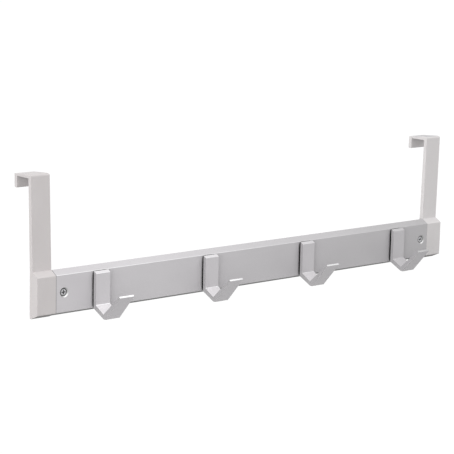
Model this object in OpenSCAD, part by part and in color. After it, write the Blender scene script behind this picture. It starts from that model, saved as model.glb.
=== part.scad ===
// Over-door hook rail: a bevelled aluminium channel carried by two moulded
// brackets that hang over the top edge of a rebated door, with four V hooks.
// Millimetres. X runs along the rail, Y points back through the door and Z up.
// The origin is the door's top front edge, midway between the brackets.

/* [Rail] */
// Width over the two end blocks
blocks_w = 570; // [540:5:700]
// Height of the flat front face
face_h = 38; // [34:1:50]
// Depth of the channel from its front face to its back edges
channel_depth = 8; // [7:0.5:12]
// Rise of the upper bevel from the front face to its back edge
bevel_rise = 4.5; // [2:0.1:6]
// Fall of the lower bevel from the front face to its back edge
bevel_fall = 3.6; // [2:0.1:6]
// Wall of the channel
rail_wall = 2; // [1.6:0.1:2.4]
// Radius of the channel's two front edges
rail_edge_r = 0.7; // [0.2:0.1:1.2]

/* [Brackets] */
// Width of each bracket, strap and end block alike
bracket_w = 22; // [18:1:30]
// From the door's top edge down to the rail's lower front edge
hang_drop = 135; // [110:1:200]
// Thickness of the strap at its foot
strap_foot_t = 5; // [4:0.1:7]
// Thickness of the strap at its top
strap_top_t = 4.3; // [3:0.1:7]
// Angle at which each strap leans outward from its end block, in degrees
strap_lean = 1.2; // [0:0.1:2]
// Thickness of door edge that fits under the tabs
door_gap = 20; // [15:0.5:45]
// Thickness of the tab where it leaves the strap
tab_t = 4.2; // [3:0.1:5]
// Thickness of the tab where it meets the lip
tab_back_t = 2; // [1.8:0.1:3]
// Thickness of the lip behind the door
lip_t = 4.4; // [3:0.1:6]
// Depth of the lip below the tab's underside
lip_drop = 11.9; // [8:0.1:30]
// How far the end block's face stands proud of the rail's face
block_proud = 0.3; // [0:0.1:0.6]
// Radius of the bracket's edges seen from the side
bracket_edge_r = 1.2; // [0.4:0.1:1.4]
// Radius of the outer bend from strap to tab
top_bend_r = 2.4; // [1:0.1:2.6]
// Radius of the strap's two top corners seen from the front
top_corner_r = 1.8; // [0.5:0.1:4]
// Length of the plug inside the rail's end
plug_l = 24; // [22:1:40]

/* [Rail screws] */
// From the inner face of the end block to the screw's axis
screw_inset = 10; // [8:0.5:14]
// Diameter of the countersink in the rail's face
sink_d = 10.4; // [9:0.1:11]
// Diameter of the screw's head
screw_head_d = 7.6; // [7:0.1:8.4]
// Diameter of the screw's shank
screw_shank_d = 4; // [3:0.1:4.5]
// Length of the screw's shank below its head
screw_shank_l = 6.5; // [4:0.1:7]

/* [Hooks] */
// From the outer side of each end block to the axis of the nearest hook
hook_end = 75; // [60:1:110]
// How far each of the two middle hooks stands inwards of an even spacing
middle_shift = 1.25; // [0:0.25:5]
// Width of a hook along the rail
hook_w = 17.5; // [14:0.5:30]
// Thickness of the hook's back plate
plate_t = 3.9; // [3:0.1:5]
// Gap between the back plate and the rail's face
plate_gap = 2.1; // [1:0.1:3]
// Height of the lower bend above the rail's lower front edge
bend_up = 3.7; // [2:0.1:6]
// How far the crease of the V lies in front of the back plate
crease_out = 13; // [10:0.1:20]
// Depth of the crease below the lower bend
crease_down = 7; // [4:0.1:10]
// How far the tip lies in front of the crease
tip_out = 25.6; // [18:0.1:34]
// Height of the tip above the crease
tip_up = 23; // [14:0.1:30]
// Thickness of the hook at its tip
tip_t = 2.1; // [1.5:0.1:3]
// Depth of metal below the crease
nose_depth = 4.8; // [4:0.1:7]
// Length of the flat under the nose
nose_flat = 3.1; // [2:0.1:5]
// Radius of the hook's outer bends
hook_edge_r = 0.7; // [0.2:0.1:1.2]

/* [Hook fixings] */
// Height of the fixing screw above the lower bend
fix_up = 23; // [20:0.5:26]
// Height of the locating peg above the lower bend
peg_up = 8; // [6:0.5:11]
// Diameter of the boss around the fixing screw
fix_boss_d = 8; // [7:0.1:10]
// Diameter of the fixing screw's shank
fix_shank_d = 4; // [3:0.1:4.5]
// Diameter of the fixing screw's pan head
fix_head_d = 7.6; // [6.5:0.1:9]
// Height of the fixing screw's pan head
fix_head_h = 2.4; // [1.8:0.1:3]
// Metal left between the fixing screw's hole and the hook's front
fix_skin = 0.9; // [0.6:0.1:1.2]
// Diameter of the shoulder behind the locating peg
peg_boss_d = 6; // [5:0.1:8]
// Diameter of the locating peg
peg_d = 3; // [2.5:0.1:4]

/* [Clearances] */
// Between the plug and the channel around it
plug_clearance = 0.25; // [0.1:0.05:0.5]
// Around a shank in its hole, on the radius
shank_clearance = 0.05; // [0.02:0.01:0.1]
// Around a screw or peg where it passes through the rail, on the radius
pass_clearance = 0.15; // [0.1:0.05:0.3]
// Between a countersunk head and its seat
head_clearance = 0.03; // [0.02:0.01:0.05]

/* [Hidden] */
$fn = 48;
hook_count = 4;
arc_steps = 5;
overcut = 1;

white_plastic = "#dedad7";
satin_aluminium = "#b9b7ba";
plated_steel = "#a9a9ab";

// The rail's outline planes: its front face, its back edges and its two front edges
front_y = -strap_foot_t - channel_depth;
back_y = -strap_foot_t;
low_z = -hang_drop;
high_z = low_z + face_h;
block_end = blocks_w / 2;
rail_half = block_end - bracket_w;
rise_angle = atan(bevel_rise / channel_depth);
fall_angle = atan(bevel_fall / channel_depth);
inner_y = front_y + rail_wall;

// The place of a hook along the rail, counted from 0 on the left
function is_middle(i) = i > 0 && i < hook_count - 1;
function hook_x(i) =
    let (steps = i - (hook_count - 1) / 2)
    steps * hook_pitch - (is_middle(i) ? sign(steps) * middle_shift : 0);

// Heights of the bevels at a depth y, outside and inside the wall
function bevel_top(y) = high_z + (y - front_y) * tan(rise_angle);
function bevel_bottom(y) = low_z - (y - front_y) * tan(fall_angle);
function inside_top(y) = bevel_top(y) - rail_wall / cos(rise_angle);
function inside_bottom(y) = bevel_bottom(y) + rail_wall / cos(fall_angle);

// How far a strap's top stands outside its end block
lean_out = (tab_t - bevel_top(back_y)) * tan(strap_lean);

// The screws that hold the brackets, level with the middle of the rail's face
screw_x = rail_half - screw_inset;
screw_z = low_z + face_h * 0.53;
head_depth = (sink_d - screw_head_d) / 2;
head_y = front_y + head_depth - head_clearance;
head_h = (screw_head_d - screw_shank_d) / 2;
boss_d = screw_shank_d + 5;
boss_back_y = -1.5;
recess_w = 1;
recess_depth = 1.2;

// The hooks lie evenly between the two end ones
hook_pitch = (blocks_w - 2 * hook_end) / (hook_count - 1);

// The hook's profile, as distances from the rail's lower front edge
plate_back = front_y - plate_gap;
plate_front = plate_back - plate_t;
bend_z = low_z + bend_up;
crease = [plate_front - crease_out, bend_z - crease_down];
tip = crease + [-tip_out, tip_up];
tip_angle = atan(tip_up / tip_out);
tip_outer = tip - tip_t * [sin(tip_angle), cos(tip_angle)];
nose_back = crease + [-0.3, -nose_depth];
nose_front = nose_back - [nose_flat, 0];
plate_slope_drop = plate_t * tan(rise_angle);
fix_z = bend_z + fix_up;
peg_z = bend_z + peg_up;
fix_tip_y = plate_front + fix_skin;

function unit(v) = v / norm(v);
function turn(a, b) = ((b - a + 540) % 360 + 360) % 360 - 180;

// The arc of radius r that rounds the corner b between its neighbours a and c
function corner_arc(a, b, c, r) =
    let (u = unit(a - b), v = unit(c - b), half = acos(u * v) / 2)
    let (centre = b + unit(u + v) * r / sin(half))
    let (first = b + u * r / tan(half) - centre, last = b + v * r / tan(half) - centre)
    let (start = atan2(first.y, first.x))
    let (sweep = turn(start, atan2(last.y, last.x)))
    [for (i = [0:arc_steps]) centre + r * [cos(start + sweep * i / arc_steps), sin(start + sweep * i / arc_steps)]];

// An outline from corners given as [x, y, radius]
module rounded_outline(corners) {
    n = len(corners);
    xy = [for (c = corners) [c[0], c[1]]];
    polygon([
        for (i = [0:n - 1])
            each corners[i][2] > 0
                ? corner_arc(xy[(i + n - 1) % n], xy[i], xy[(i + 1) % n], corners[i][2])
                : [xy[i]]
    ]);
}

// A profile drawn in Y and Z, drawn out along X from x0
module along_x(x0, length) {
    translate([x0, 0, 0]) rotate([90, 0, 90]) linear_extrude(length) children();
}

// A profile drawn in X and Z, drawn out from y_back towards the front
module along_y(y_back, depth) {
    translate([0, y_back, 0]) rotate([90, 0, 0]) linear_extrude(depth) children();
}

// A round bar whose axis runs along Y between two depths
module bar_y(x, z, y0, y1, d) {
    translate([x, y0, z]) rotate([-90, 0, 0]) cylinder(h = y1 - y0, d = d);
}

// A cone whose axis runs along Y, d0 wide at y0 and d1 wide at y1
module cone_y(x, z, y0, y1, d0, d1) {
    translate([x, y0, z]) rotate([-90, 0, 0]) cylinder(h = y1 - y0, d1 = d0, d2 = d1);
}

// The cross in a screw's head: open at y0, and cut towards y1
module cross_recess(x, z, y0, y1, head_d) {
    span = head_d * 0.6;
    low = min(y0, y1);
    for (turned = [0, 90])
        translate([x, low, z]) rotate([0, turned, 0])
            translate([-span / 2, 0, -recess_w / 2]) cube([span, abs(y1 - y0), recess_w]);
}

module channel_profile() {
    rounded_outline([
        [back_y, bevel_bottom(back_y), 0],
        [back_y, inside_bottom(back_y), 0],
        [inner_y, inside_bottom(inner_y), 0],
        [inner_y, inside_top(inner_y), 0],
        [back_y, inside_top(back_y), 0],
        [back_y, bevel_top(back_y), 0],
        [front_y, high_z, rail_edge_r],
        [front_y, low_z, rail_edge_r]
    ]);
}

module rail() {
    color(satin_aluminium)
        difference() {
            along_x(-rail_half, 2 * rail_half) channel_profile();
            for (side = [-1, 1])
                countersink(side * screw_x);
            for (i = [0:hook_count - 1]) {
                bar_y(hook_x(i), fix_z, front_y - overcut, inner_y + overcut, fix_shank_d + 2 * pass_clearance);
                bar_y(hook_x(i), peg_z, front_y - overcut, inner_y + overcut, peg_d + 2 * pass_clearance);
            }
        }
}

// A right-angled countersink through the rail's front wall
module countersink(x) {
    cone_y(x, screw_z, front_y - overcut, front_y + sink_d / 2, sink_d + 2 * overcut, 0);
    bar_y(x, screw_z, front_y, inner_y + overcut, screw_shank_d + 2 * pass_clearance);
}

// The bracket seen from the side: end block, strap, tab and lip
module bracket_side() {
    block_y = front_y - block_proud;
    rounded_outline([
        [block_y, low_z, bracket_edge_r],
        [block_y, high_z, bracket_edge_r],
        [back_y, bevel_top(back_y), 0],
        [-strap_top_t, tab_t, top_bend_r],
        [door_gap + lip_t, tab_back_t, bracket_edge_r],
        [door_gap + lip_t, -lip_drop, bracket_edge_r],
        [door_gap, -lip_drop, bracket_edge_r],
        [door_gap, 0, 0.4],
        [0, 0, 0.4],
        [0, bevel_bottom(0), bracket_edge_r]
    ]);
}

// The bracket seen from the front: upright beside the rail, then leaning outward
module bracket_front() {
    foot_z = bevel_top(back_y);
    rounded_outline([
        [rail_half, bevel_bottom(0) - overcut, 0],
        [block_end, bevel_bottom(0) - overcut, 0],
        [block_end, foot_z, 0],
        [block_end + lean_out, tab_t, top_corner_r],
        [rail_half + lean_out, tab_t, top_corner_r],
        [rail_half, foot_z, 0]
    ]);
}

// The plug fills the channel's end behind the front wall
module plug() {
    plug_y = inner_y + plug_clearance;
    along_x(rail_half - plug_l, plug_l + overcut)
        polygon([
            [plug_y, inside_bottom(plug_y) + plug_clearance],
            [back_y, inside_bottom(back_y) + plug_clearance],
            [back_y, inside_top(back_y) - plug_clearance],
            [plug_y, inside_top(plug_y) - plug_clearance]
        ]);
}

// The right-hand bracket, which is mirrored for the left
module bracket() {
    seat_y = inner_y + plug_clearance;
    depth = door_gap + lip_t - front_y + 2 * overcut + block_proud;
    difference() {
        union() {
            intersection() {
                along_x(rail_half - overcut, bracket_w + lean_out + 2 * overcut) bracket_side();
                along_y(door_gap + lip_t + overcut, depth) bracket_front();
            }
            plug();
            bar_y(screw_x, screw_z, back_y - overcut, boss_back_y, boss_d);
        }
        bar_y(screw_x, screw_z, seat_y - overcut, boss_back_y + overcut, screw_shank_d + 2 * shank_clearance);
        cone_y(screw_x, screw_z, head_y, head_y + screw_head_d / 2 + shank_clearance,
            screw_head_d + 2 * shank_clearance, 0);
    }
}

module bracket_left() {
    color(white_plastic) mirror([1, 0, 0]) bracket();
}

module bracket_right() {
    color(white_plastic) bracket();
}

// A countersunk cross-head screw through the rail's face into the plug
module rail_screw(side) {
    color(plated_steel)
        difference() {
            union() {
                cone_y(side * screw_x, screw_z, head_y, head_y + head_h, screw_head_d - 2 * head_clearance,
                    screw_shank_d - 2 * head_clearance);
                bar_y(side * screw_x, screw_z, head_y + head_h - head_clearance, head_y + head_h + screw_shank_l,
                    screw_shank_d);
            }
            cross_recess(side * screw_x, screw_z, head_y - overcut, head_y + recess_depth, screw_head_d);
        }
}

module rail_screw_left() {
    rail_screw(-1);
}

module rail_screw_right() {
    rail_screw(1);
}

// The hook's section: back plate, foot of the V and rising leg
module hook_profile() {
    rounded_outline([
        [plate_back, high_z, 0.3],
        [plate_front, high_z - plate_slope_drop, 0.4],
        [plate_front, bend_z, 0.8],
        [crease.x, crease.y, 0.5],
        [tip.x, tip.y, 0.4],
        [tip_outer.x, tip_outer.y, 0.4],
        [nose_front.x, nose_front.y, hook_edge_r],
        [nose_back.x, nose_back.y, hook_edge_r],
        [plate_back, bend_z - plate_t, hook_edge_r]
    ]);
}

// One hook, with the boss and peg on its back that hold it off the rail
module hook(i) {
    x = hook_x(i);
    color(satin_aluminium)
        difference() {
            union() {
                along_x(x - hook_w / 2, hook_w) hook_profile();
                bar_y(x, fix_z, plate_back - overcut, front_y, fix_boss_d);
                bar_y(x, peg_z, plate_back - overcut, front_y, peg_boss_d);
                bar_y(x, peg_z, plate_back - overcut, inner_y, peg_d);
            }
            bar_y(x, fix_z, fix_tip_y, front_y + overcut, fix_shank_d + 2 * shank_clearance);
        }
}

// The pan-head screw that holds a hook from behind the rail's face
module hook_screw(i) {
    x = hook_x(i);
    head_end = inner_y + fix_head_h;
    color(plated_steel)
        difference() {
            union() {
                bar_y(x, fix_z, inner_y, head_end, fix_head_d);
                bar_y(x, fix_z, fix_tip_y + shank_clearance, inner_y + overcut, fix_shank_d);
            }
            cross_recess(x, fix_z, head_end + overcut, head_end - recess_depth, fix_head_d);
        }
}

module hook_1() { hook(0); }
module hook_2() { hook(1); }
module hook_3() { hook(2); }
module hook_4() { hook(3); }
module hook_screw_1() { hook_screw(0); }
module hook_screw_2() { hook_screw(1); }
module hook_screw_3() { hook_screw(2); }
module hook_screw_4() { hook_screw(3); }

rail();
bracket_left();
bracket_right();
rail_screw_left();
rail_screw_right();
hook_1();
hook_2();
hook_3();
hook_4();
hook_screw_1();
hook_screw_2();
hook_screw_3();
hook_screw_4();
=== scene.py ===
"""Looks for the over-door hook rail: materials, soft edges, floor, light and camera, in metres."""

import math

import bpy
from mathutils import Matrix, Vector


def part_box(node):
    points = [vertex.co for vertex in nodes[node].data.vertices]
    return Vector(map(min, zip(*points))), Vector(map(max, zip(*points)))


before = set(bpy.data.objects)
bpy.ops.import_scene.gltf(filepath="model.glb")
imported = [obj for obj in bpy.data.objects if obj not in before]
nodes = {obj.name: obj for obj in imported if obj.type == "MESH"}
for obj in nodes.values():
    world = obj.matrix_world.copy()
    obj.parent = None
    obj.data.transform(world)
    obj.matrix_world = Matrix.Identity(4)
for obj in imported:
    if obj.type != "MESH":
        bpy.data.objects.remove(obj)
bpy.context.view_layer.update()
scene = bpy.context.scene

BRACKETS = ("bracket_left", "bracket_right")
HOOKS = ("hook_1", "hook_2", "hook_3", "hook_4")
RAIL_SCREWS = ("rail_screw_left", "rail_screw_right")
HOOK_SCREWS = ("hook_screw_1", "hook_screw_2", "hook_screw_3", "hook_screw_4")

# The camera's place and turn, and its focal length in pixels of the 454-pixel frame
CAMERA_PLACE = Vector((-1.2183, -1.3999, 0.2640))
CAMERA_YAW = math.radians(40.239)
CAMERA_PITCH = math.radians(-10.422)
CAMERA_ROLL = math.radians(-1.363)
FOCAL_PX = 1746.2
FRAME_PX = 454
SENSOR_MM = 36.0

# What every lamp faces
LAMP_AIM = Vector((0, 0, -0.1))

# The floor: its height, its width, the tone that takes the light, the level of the white laid over that
# for whoever looks at it, and the share of that white
FLOOR_Z = -1.2
FLOOR_WIDTH = 80
FLOOR_TONE = 0.42
FLOOR_WHITE = 1.10
FLOOR_WHITE_SHARE = 0.92

# Widths of the soft edges, the least angle between two faces that makes an edge, and how near two corners
# are to count as one
BRACKET_EDGE = 0.0008
RAIL_EDGE = 0.00012
HOOK_EDGE = 0.0002
SCREW_EDGE = 0.0001
EDGE_ANGLE = math.radians(32)
WELD_WITHIN = 0.000002

# Faces whose tone changes: the way they look, and the cosines at which the change starts and is full. Most
# changes are painted light: painted shade on undersides, plate backs, the upper bevel and plastic tops, and
# painted highlights on the upper edge, the hooks' upper sides and tips, and the countersink's lit wall. Sawn
# ends have their own darker grain. UPPER_EDGE is the soft edge between the face and the upper bevel.
PLASTIC_TOP = ((0, 0, 1), 0.85, 0.97)
PLASTIC_UNDERSIDE = ((0, 0, -1), 0.80, 0.90)
METAL_UNDERSIDE = ((0, 0, -1), 0.70, 0.80)
SAWN_END = ((1, 0, 0), 0.60, 0.90)
UPPER_BEVEL = ((0, -0.490, 0.872), 0.93, 0.98)
UPPER_EDGE = ((0, -0.864, 0.504), 0.90, 0.96)
HOOK_UPPER_SIDE = ((0, -0.3, 0.954), 0.85, 0.93)
HOOK_TIP_END = ((0, -0.744, 0.669), 0.97, 0.99)
HOOK_BACK = ((0, 1, 0), 0.90, 0.97)
SINK_PAINTED_GLINT = ((-0.35, -0.707, 0.614), 0.86, 0.99)

# Rings round a rail screw's axis, by the radii between which a tone changes: where the painted shade on
# the head's rim starts, where the painted shade in the gap round the head ends, and where the countersink,
# with its painted glint and shade, ends
HEAD_RIM = (0.0030, 0.0034)
HEAD_GAP = (0.0039, 0.0042)
SINK_MOUTH = (0.0051, 0.0053)

# Distances past the rail's low sides between which a tone changes: at the dark joint at its left end, and
# just in front of its face, where the painted shade on the plate backs starts
LEFT_JOINT = (0.0004, 0.0008)
BEFORE_FACE = (0.0, -0.0005)

# The part of a noise's range that holds most of its values
NOISE_LOW = 0.3
NOISE_HIGH = 0.7

# Roughness of the undersides
DULL = 0.9

# Which inputs of a Mix node take the first and the second value, and which output gives the result
MIX_SOCKETS = {"RGBA": (6, 7, 2), "FLOAT": (2, 3, 0)}


def grey(level):
    return (level, level, level)


def low_side(node, axis):
    """Where a CAD node's box begins along an axis."""
    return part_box(node)[0]["XYZ".index(axis)]


class Tree:
    """The node tree of a material or a world, with short calls to add, set and join its nodes."""

    def __init__(self, owner, output_kind):
        owner.use_nodes = True
        self.tree = owner.node_tree
        self.tree.nodes.clear()
        self.output = self.add(output_kind)

    def add(self, kind, **settings):
        node = self.tree.nodes.new(kind)
        for key, value in settings.items():
            setattr(node, key, value)
        return node

    def feed(self, value, socket):
        """Joins another node's output to a socket, or sets the socket to a number, direction or colour."""
        if isinstance(value, bpy.types.NodeSocket):
            self.tree.links.new(value, socket)
        elif socket.type == "RGBA":
            socket.default_value = (*value, 1.0)
        else:
            socket.default_value = value

    def calculate(self, operation, first, second=None):
        """What a Math node makes of one or two numbers."""
        node = self.add("ShaderNodeMath", operation=operation)
        self.feed(first, node.inputs[0])
        if second is not None:
            self.feed(second, node.inputs[1])
        return node.outputs["Value"]

    def calculate_vector(self, operation, first, second, output="Vector"):
        """What a Vector Math node makes of two vectors."""
        node = self.add("ShaderNodeVectorMath", operation=operation)
        self.feed(first, node.inputs[0])
        self.feed(second, node.inputs[1])
        return node.outputs[output]

    def spread(self, value, low, high, start=NOISE_LOW, end=NOISE_HIGH):
        """Maps start to end of a value onto low to high, and holds it at low and high beyond them."""
        node = self.add("ShaderNodeMapRange")
        self.feed(value, node.inputs["Value"])
        self.feed(start, node.inputs["From Min"])
        self.feed(end, node.inputs["From Max"])
        self.feed(low, node.inputs["To Min"])
        self.feed(high, node.inputs["To Max"])
        return node.outputs["Result"]

    def seen_directly(self):
        """1 where the camera sees it, straight, mirrored or through glass, and 0 where it gives light."""
        path = self.add("ShaderNodeLightPath")
        seen = self.calculate("MAXIMUM", path.outputs["Is Camera Ray"], path.outputs["Is Glossy Ray"])
        return self.calculate("MAXIMUM", seen, path.outputs["Is Transmission Ray"])


class Surface(Tree):
    """The node tree of a material on the object, with short calls for what the materials share."""

    def __init__(self, name):
        self.material = bpy.data.materials.new(name)
        super().__init__(self.material, "ShaderNodeOutputMaterial")
        self.place = self.add("ShaderNodeTexCoord").outputs["Object"]

    def noise(self, stretch, detail=2.0):
        """Noise whose waves are 1 / stretch metres long in X, Y and Z."""
        mapping = self.add("ShaderNodeMapping")
        self.feed(self.place, mapping.inputs["Vector"])
        self.feed(stretch, mapping.inputs["Scale"])
        noise = self.add("ShaderNodeTexNoise")
        self.feed(mapping.outputs["Vector"], noise.inputs["Vector"])
        self.feed(1.0, noise.inputs["Scale"])
        self.feed(detail, noise.inputs["Detail"])
        return noise.outputs["Fac"]

    def mix(self, kind, factor, first, second):
        """Goes from first, where the factor is 0, to second, where it is 1."""
        node = self.add("ShaderNodeMix", data_type=kind)
        first_input, second_input, result = MIX_SOCKETS[kind]
        self.feed(factor, node.inputs["Factor"])
        self.feed(first, node.inputs[first_input])
        self.feed(second, node.inputs[second_input])
        return node.outputs[result]

    def blend(self, factor, first, second):
        """A mix of two colours."""
        return self.mix("RGBA", factor, first, second)

    def blend_value(self, factor, first, second):
        """A mix of two numbers."""
        return self.mix("FLOAT", factor, first, second)

    def times(self, first, second):
        return self.calculate("MULTIPLY", first, second)

    def coordinate(self, axis):
        parts = self.add("ShaderNodeSeparateXYZ")
        self.feed(self.place, parts.inputs["Vector"])
        return parts.outputs[axis]

    def along_rail(self, low, high, power=1.0):
        """Goes slowly from low at the rail's left end to high at its right end."""
        left_end = low_side("rail", "X")
        share = self.spread(self.coordinate("X"), 0.0, 1.0, left_end, -left_end)
        return self.spread(self.calculate("POWER", share, power), low, high, 0.0, 1.0)

    def past_side(self, node, axis, start, end):
        """0 at start and 1 at end, both in metres past a node's low side along an axis."""
        side = low_side(node, axis)
        return self.spread(self.coordinate(axis), 0.0, 1.0, side + start, side + end)

    def off_axis(self, node, start, end):
        """0 within start metres of a screw's front-to-back axis, or of its mirror image's, and 1 past end."""
        low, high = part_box(node)
        axis = (abs(low[0] + high[0]) / 2, 0, abs(low[2] + high[2]) / 2)
        either_side = self.add("ShaderNodeVectorMath", operation="ABSOLUTE")
        self.feed(self.place, either_side.inputs[0])
        flat = self.calculate_vector("MULTIPLY", either_side.outputs["Vector"], (1, 0, 1))
        return self.spread(self.calculate_vector("DISTANCE", flat, axis, "Value"), 0.0, 1.0, start, end)

    def facing(self, way, start, end, both_ways=False):
        """0 where the surface looks elsewhere, and 1 where it looks along a direction. Start and end are
        the cosines between which it rises."""
        normal = self.add("ShaderNodeNewGeometry").outputs["Normal"]
        cosine = self.calculate_vector("DOT_PRODUCT", normal, way, "Value")
        if both_ways:
            cosine = self.calculate("ABSOLUTE", cosine)
        return self.spread(cosine, 0.0, 1.0, start, end)

    def painted_crevice_shade(self, color, reach, start, end):
        """The colour, going over to black where other surfaces stand within reach: painted shade in crevices.
        """
        open_sky = self.add("ShaderNodeAmbientOcclusion", samples=16)
        self.feed(reach, open_sky.inputs["Distance"])
        return self.blend(self.spread(open_sky.outputs["AO"], 0.0, 1.0, start, end), grey(0.0), color)

    def bump(self, height, depth, strength, below=None):
        """Relief whose height of 1 stands depth metres proud, on top of the relief below."""
        node = self.add("ShaderNodeBump")
        self.feed(height, node.inputs["Height"])
        self.feed(depth, node.inputs["Distance"])
        self.feed(strength, node.inputs["Strength"])
        if below is not None:
            self.feed(below, node.inputs["Normal"])
        return node.outputs["Normal"]

    def principled(self, color, roughness, normal, **constants):
        """The material, with the Principled shader. Constants go straight onto its sockets."""
        node = self.add("ShaderNodeBsdfPrincipled")
        for name, value in constants.items():
            node.inputs[name].default_value = value
        self.feed(color, node.inputs["Base Color"])
        self.feed(roughness, node.inputs["Roughness"])
        self.feed(normal, node.inputs["Normal"])
        self.feed(node.outputs["BSDF"], self.output.inputs["Surface"])
        return self.material


class SatinAluminium(Surface):
    """Matt anodised aluminium: fine lines along X, and a darker saw-cut grain on faces that look along X."""

    def __init__(self, name, lines, cut):
        super().__init__(name)
        self.on_end = self.facing(*SAWN_END, both_ways=True)
        self.underneath = self.facing(*METAL_UNDERSIDE)
        # How strong the painted highlights are: full at the rail's left end, none at its right end
        self.painted_highlight_fade = self.along_rail(1.0, 0.0)
        brushed = self.noise((6, lines, lines))
        sawn = self.noise((500, cut, 60))
        self.grain = self.blend_value(self.on_end, brushed, sawn)

    def ground_tone(self, light, dark, sawn_tone, painted_shade_to_right):
        """A cloudy tone and sawn ends, with painted shade rightwards and on the bevel, and painted edge
        highlights.
        """
        painted_shade_grey = grey(0.30)
        cloudy = self.spread(self.noise((9, 30, 30)), 0.0, 1.0)
        tone = self.blend(cloudy, dark, light)
        # Painted shade: the tone darkens towards the rail's right end
        tone = self.blend(self.along_rail(0.0, painted_shade_to_right, power=1.2), tone, painted_shade_grey)
        # Painted shade on the upper bevel, deeper towards the right
        bevel = self.times(self.facing(*UPPER_BEVEL), self.along_rail(-0.08, 0.18))
        tone = self.blend(bevel, tone, painted_shade_grey)
        tone = self.blend(self.on_end, tone, sawn_tone)
        # Painted highlight along the upper edge, fading towards the right
        edge = self.times(self.facing(*UPPER_EDGE), self.painted_highlight_fade)
        return self.blend(edge, tone, (0.93, 0.93, 0.94))

    def with_lines(self, tone):
        """The tone with a trace of the grain in it."""
        return self.blend(self.spread(self.grain, 0.0, 0.014), tone, (0.30, 0.30, 0.31))

    def satin(self, tone, metallic):
        """The material, with the gloss and the relief of the grain."""
        roughness = self.blend_value(self.underneath, self.spread(self.grain, 0.36, 0.42), DULL)
        normal = self.bump(self.grain, depth=0.00001, strength=0.2)
        return self.principled(tone, roughness, normal, Metallic=metallic)


def rail_aluminium():
    """The rail's metal, with its countersinks, the dark joint at its left end and painted shade in crevices.
    """
    s = SatinAluminium("rail_aluminium", lines=1500, cut=700)
    tone = s.ground_tone(light=(0.632, 0.614, 0.632), dark=(0.602, 0.584, 0.602),
                         sawn_tone=(0.44, 0.435, 0.44), painted_shade_to_right=0.43)
    # Painted shade on the undersides
    tone = s.blend(s.underneath, tone, grey(0.30))
    # Countersink: a painted glint on its lit wall, painted shade on the rest and in the gap round the head
    sink_painted_light = s.blend(s.facing(*SINK_PAINTED_GLINT), grey(0.44), grey(0.92))
    sink_painted_light = s.blend(s.off_axis("rail_screw_right", *HEAD_GAP), grey(0.08), sink_painted_light)
    tone = s.blend(s.off_axis("rail_screw_right", *SINK_MOUTH), sink_painted_light, tone)
    tone = s.blend(s.past_side("rail", "X", *LEFT_JOINT), grey(0.12), tone)
    # Painted shade in the crevices
    tone = s.painted_crevice_shade(s.with_lines(tone), reach=0.008, start=0.46, end=0.62)
    return s.satin(tone, metallic=0.05)


def hook_aluminium():
    """The hooks' metal: painted highlights on upper sides and sheared tips, painted shade under and behind.
    """
    s = SatinAluminium("hook_aluminium", lines=1200, cut=900)
    tone = s.ground_tone(light=(0.623, 0.605, 0.623), dark=(0.593, 0.575, 0.593),
                         sawn_tone=(0.41, 0.40, 0.41), painted_shade_to_right=0.32)
    # Painted highlight on the upper sides, fading towards the right
    tone = s.blend(s.times(s.facing(*HOOK_UPPER_SIDE), s.painted_highlight_fade), tone, (0.78, 0.76, 0.78))
    # Painted highlight on the sheared tip ends at the left, going over to painted shade at the right
    tip_painted_highlight = s.blend(s.along_rail(0.0, 1.0), (0.95, 0.95, 0.96), grey(0.36))
    tone = s.blend(s.facing(*HOOK_TIP_END), tone, tip_painted_highlight)
    # Painted shade on the plate backs in front of the rail's face
    plate_back_shade = s.times(s.facing(*HOOK_BACK), s.past_side("rail", "Y", *BEFORE_FACE))
    tone = s.blend(plate_back_shade, tone, grey(0.03))
    # Painted shade on the undersides
    tone = s.blend(s.underneath, tone, grey(0.10))
    return s.satin(s.with_lines(tone), metallic=0.2)


def moulded_plastic():
    """Off-white moulding: a fine sparked grain, a faint flow in its colour, and painted light and shade."""
    s = Surface("moulded_plastic")
    flow = s.spread(s.noise((38, 38, 14), detail=3.0), 0.0, 1.0)
    color = s.blend(flow, (0.600, 0.568, 0.566), (0.634, 0.606, 0.604))
    # Painted light: the plastic grows lighter towards the rail's right end
    color = s.blend(s.along_rail(0.0, 0.55), color, (0.745, 0.73, 0.73))
    # Painted shade on the tops, deeper towards the right
    top_painted_shade = s.times(s.facing(*PLASTIC_TOP), s.along_rail(0.0, 1.0))
    color = s.blend(top_painted_shade, color, (0.52, 0.51, 0.52))
    # Painted shade on the undersides, which are also duller
    underneath = s.facing(*PLASTIC_UNDERSIDE)
    color = s.blend(underneath, color, (0.33, 0.32, 0.32))
    grain = s.noise((2600, 2600, 2600))
    hollows = s.bump(s.noise((60, 60, 60), detail=1.0), depth=0.0002, strength=0.25)
    normal = s.bump(grain, depth=0.00003, strength=0.6, below=hollows)
    roughness = s.blend_value(underneath, s.spread(grain, 0.40, 0.56), DULL)
    return s.principled(color, roughness, normal, IOR=1.48)


def plated_steel(name, sunk_head=None):
    """Bright plated steel with turning marks, a little tarnish, painted shade in recesses and on a sunk
    head's rim.
    """
    s = Surface(name)
    tarnish = s.spread(s.noise((420, 420, 420), detail=3.0), 0.0, 1.0)
    color = s.blend(tarnish, (0.62, 0.62, 0.63), (0.44, 0.44, 0.46))
    # Painted shade in the recesses
    color = s.painted_crevice_shade(color, reach=0.003, start=0.6, end=0.95)
    # Painted shade on the sunk head's rim
    if sunk_head:
        color = s.blend(s.off_axis(sunk_head, *HEAD_RIM), color, grey(0.01))
    turned = s.noise((2400, 5200, 2400))
    normal = s.bump(turned, depth=0.000015, strength=0.7)
    return s.principled(color, s.spread(turned, 0.20, 0.36), normal, Metallic=1.0)


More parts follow.
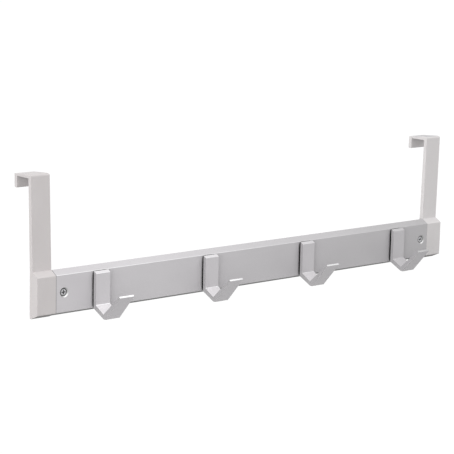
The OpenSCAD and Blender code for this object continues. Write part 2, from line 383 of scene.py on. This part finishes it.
def soften(name, width, material, segments=2):
    """Rounds a CAD node's sharp edges by width and gives it its material."""
    piece = nodes[name]
    weld = piece.modifiers.new("weld", "WELD")
    weld.merge_threshold = WELD_WITHIN
    bevel = piece.modifiers.new("soft_edges", "BEVEL")
    bevel.width = width
    bevel.segments = segments
    bevel.limit_method = "ANGLE"
    bevel.angle_limit = EDGE_ANGLE
    bevel.use_clamp_overlap = True
    bevel.harden_normals = True
    piece.data.materials.clear()
    piece.data.materials.append(material)


def dress():
    """Gives each CAD node its soft edges and its material."""
    plastic = moulded_plastic()
    rail_metal = rail_aluminium()
    hook_metal = hook_aluminium()
    sunk_steel = plated_steel("sunk_screw_steel", "rail_screw_right")
    steel = plated_steel("plated_steel")
    for name in BRACKETS:
        soften(name, BRACKET_EDGE, plastic, segments=3)
    soften("rail", RAIL_EDGE, rail_metal)
    for name in HOOKS:
        soften(name, HOOK_EDGE, hook_metal)
    for name in RAIL_SCREWS:
        soften(name, SCREW_EDGE, sunk_steel)
    for name in HOOK_SCREWS:
        soften(name, SCREW_EDGE, steel)


def pale_floor():
    """A wide pale floor that shows white and keeps the object's shadow."""
    bpy.ops.mesh.primitive_plane_add(size=FLOOR_WIDTH, location=(0, 0, FLOOR_Z))
    floor = bpy.context.object
    floor.name = "floor"
    material = bpy.data.materials.new("pale_floor")
    t = Tree(material, "ShaderNodeOutputMaterial")
    matt = t.add("ShaderNodeBsdfDiffuse")
    t.feed(grey(FLOOR_TONE), matt.inputs["Color"])
    white = t.add("ShaderNodeEmission")
    t.feed(FLOOR_WHITE, white.inputs["Strength"])
    cover = t.add("ShaderNodeMixShader")
    t.feed(t.calculate("MULTIPLY", t.seen_directly(), FLOOR_WHITE_SHARE), cover.inputs["Fac"])
    t.feed(matt.outputs["BSDF"], cover.inputs[1])
    t.feed(white.outputs["Emission"], cover.inputs[2])
    t.feed(cover.outputs["Shader"], t.output.inputs["Surface"])
    floor.data.materials.append(material)


def pale_world(light):
    """White to look at, and weaker as a light."""
    world = bpy.data.worlds.new("pale_world")
    scene.world = world
    t = Tree(world, "ShaderNodeOutputWorld")
    background = t.add("ShaderNodeBackground")
    t.feed(grey(1.0), background.inputs["Color"])
    t.feed(t.spread(t.seen_directly(), light, 1.0, 0.0, 1.0), background.inputs["Strength"])
    t.feed(background.outputs["Background"], t.output.inputs["Surface"])


def softbox(name, place, wide, high, watts):
    """A rectangular area lamp that faces the object."""
    lamp = bpy.data.lights.new(name, "AREA")
    lamp.shape = "RECTANGLE"
    lamp.size = wide
    lamp.size_y = high
    lamp.energy = watts
    holder = bpy.data.objects.new(name, lamp)
    scene.collection.objects.link(holder)
    holder.location = place
    holder.rotation_euler = (LAMP_AIM - Vector(place)).to_track_quat("-Z", "Y").to_euler()


def photo_camera():
    """The camera that took the photograph, as a plain pinhole."""
    forward = Vector((math.sin(CAMERA_YAW) * math.cos(CAMERA_PITCH),
                      math.cos(CAMERA_YAW) * math.cos(CAMERA_PITCH), math.sin(CAMERA_PITCH)))
    level = Vector((math.cos(CAMERA_YAW), -math.sin(CAMERA_YAW), 0))
    plumb = forward.cross(level)
    right = level * math.cos(CAMERA_ROLL) + plumb * math.sin(CAMERA_ROLL)
    down = plumb * math.cos(CAMERA_ROLL) - level * math.sin(CAMERA_ROLL)
    data = bpy.data.cameras.new("camera")
    data.sensor_width = SENSOR_MM
    data.lens = FOCAL_PX / FRAME_PX * SENSOR_MM
    data.clip_start = 0.05
    data.clip_end = 200
    camera = bpy.data.objects.new("camera", data)
    scene.collection.objects.link(camera)
    turn = Matrix((right, -down, -forward)).transposed()
    camera.matrix_world = Matrix.Translation(CAMERA_PLACE) @ turn.to_4x4()
    scene.camera = camera


scene.view_settings.view_transform = "Standard"
photo_camera()
dress()
pale_floor()
pale_world(light=0.68)
softbox("key", (1.9, -1.1, 2.3), wide=1.5, high=1.2, watts=18)
softbox("overhead", (-0.8, -0.4, 1.5), wide=1.2, high=1.0, watts=7.5)
softbox("left", (-3.7, -1.35, 0.5), wide=3.2, high=2.9, watts=72)
softbox("front", (-1.7, -1.9, 0.0), wide=1.2, high=1.2, watts=6)
